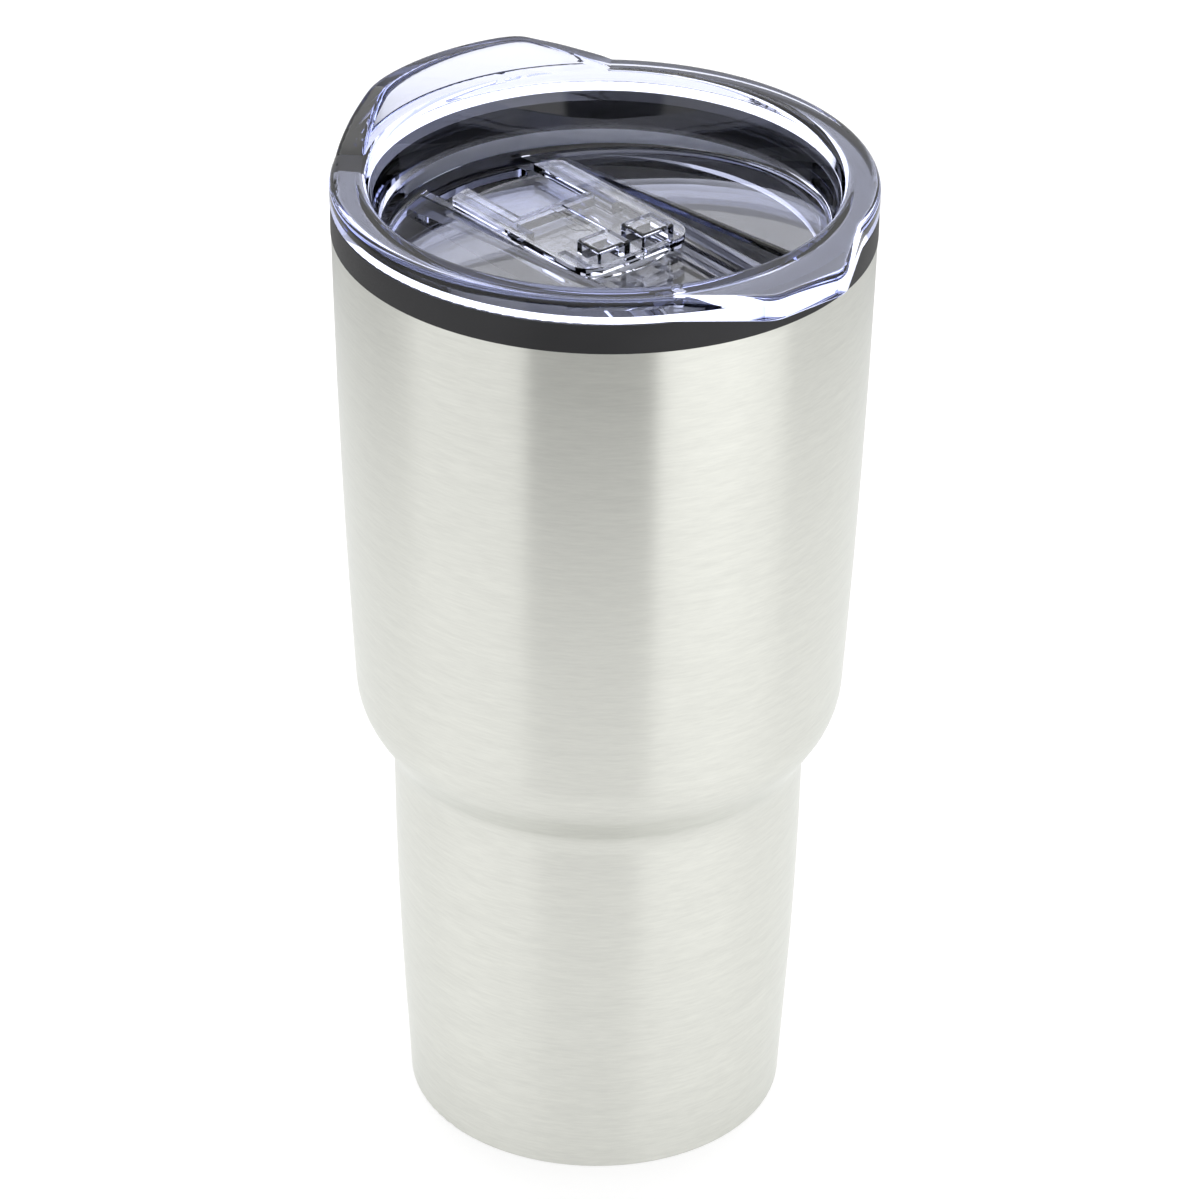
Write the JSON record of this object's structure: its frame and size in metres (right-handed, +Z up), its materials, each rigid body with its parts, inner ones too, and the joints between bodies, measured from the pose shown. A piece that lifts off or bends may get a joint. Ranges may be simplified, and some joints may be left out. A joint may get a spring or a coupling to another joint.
{
  "type": "insulated tumbler with lid",
  "caption": "Double-wall steel tumbler with a stepped body, a black collar and a clear push-on lid with a drinking lip, a thumb tab and a sliding closure.",
  "frame": {"origin": "middle of the flat base", "axes": "+Z up along the tumbler's axis, +X towards the drinking lip, -X towards the thumb tab"},
  "size_m": [0.1082, 0.102, 0.2062],
  "materials": {
    "brushed_steel": "fine brushing round the body",
    "satin_steel": "satin, inside of the cup",
    "black_plastic": "matte moulded plastic",
    "silicone": "milky silicone",
    "clear_plastic": "clear, with a faint blue tint in thick places"
  },
  "bodies": {
    "tumbler": {"outer_shell": "brushed_steel", "base_plate": "brushed_steel", "inner_cup": "satin_steel", "collar": "black_plastic", "collar_seal": "silicone"},
    "lid": {"lid_body": "clear_plastic", "lid_gasket": "silicone"},
    "slider": {"slider": "clear_plastic"}
  },
  "joints": [
    {"name": "lid_lift", "type": "slide", "parent": "tumbler", "child": "lid", "axis": [0, 0, 1], "range_m": [0, 0.03]},
    {"name": "slider_travel", "type": "slide", "parent": "lid", "child": "slider", "axis": [-1, 0, 0], "range_m": [-0.0084, 0.012]}
  ]
}
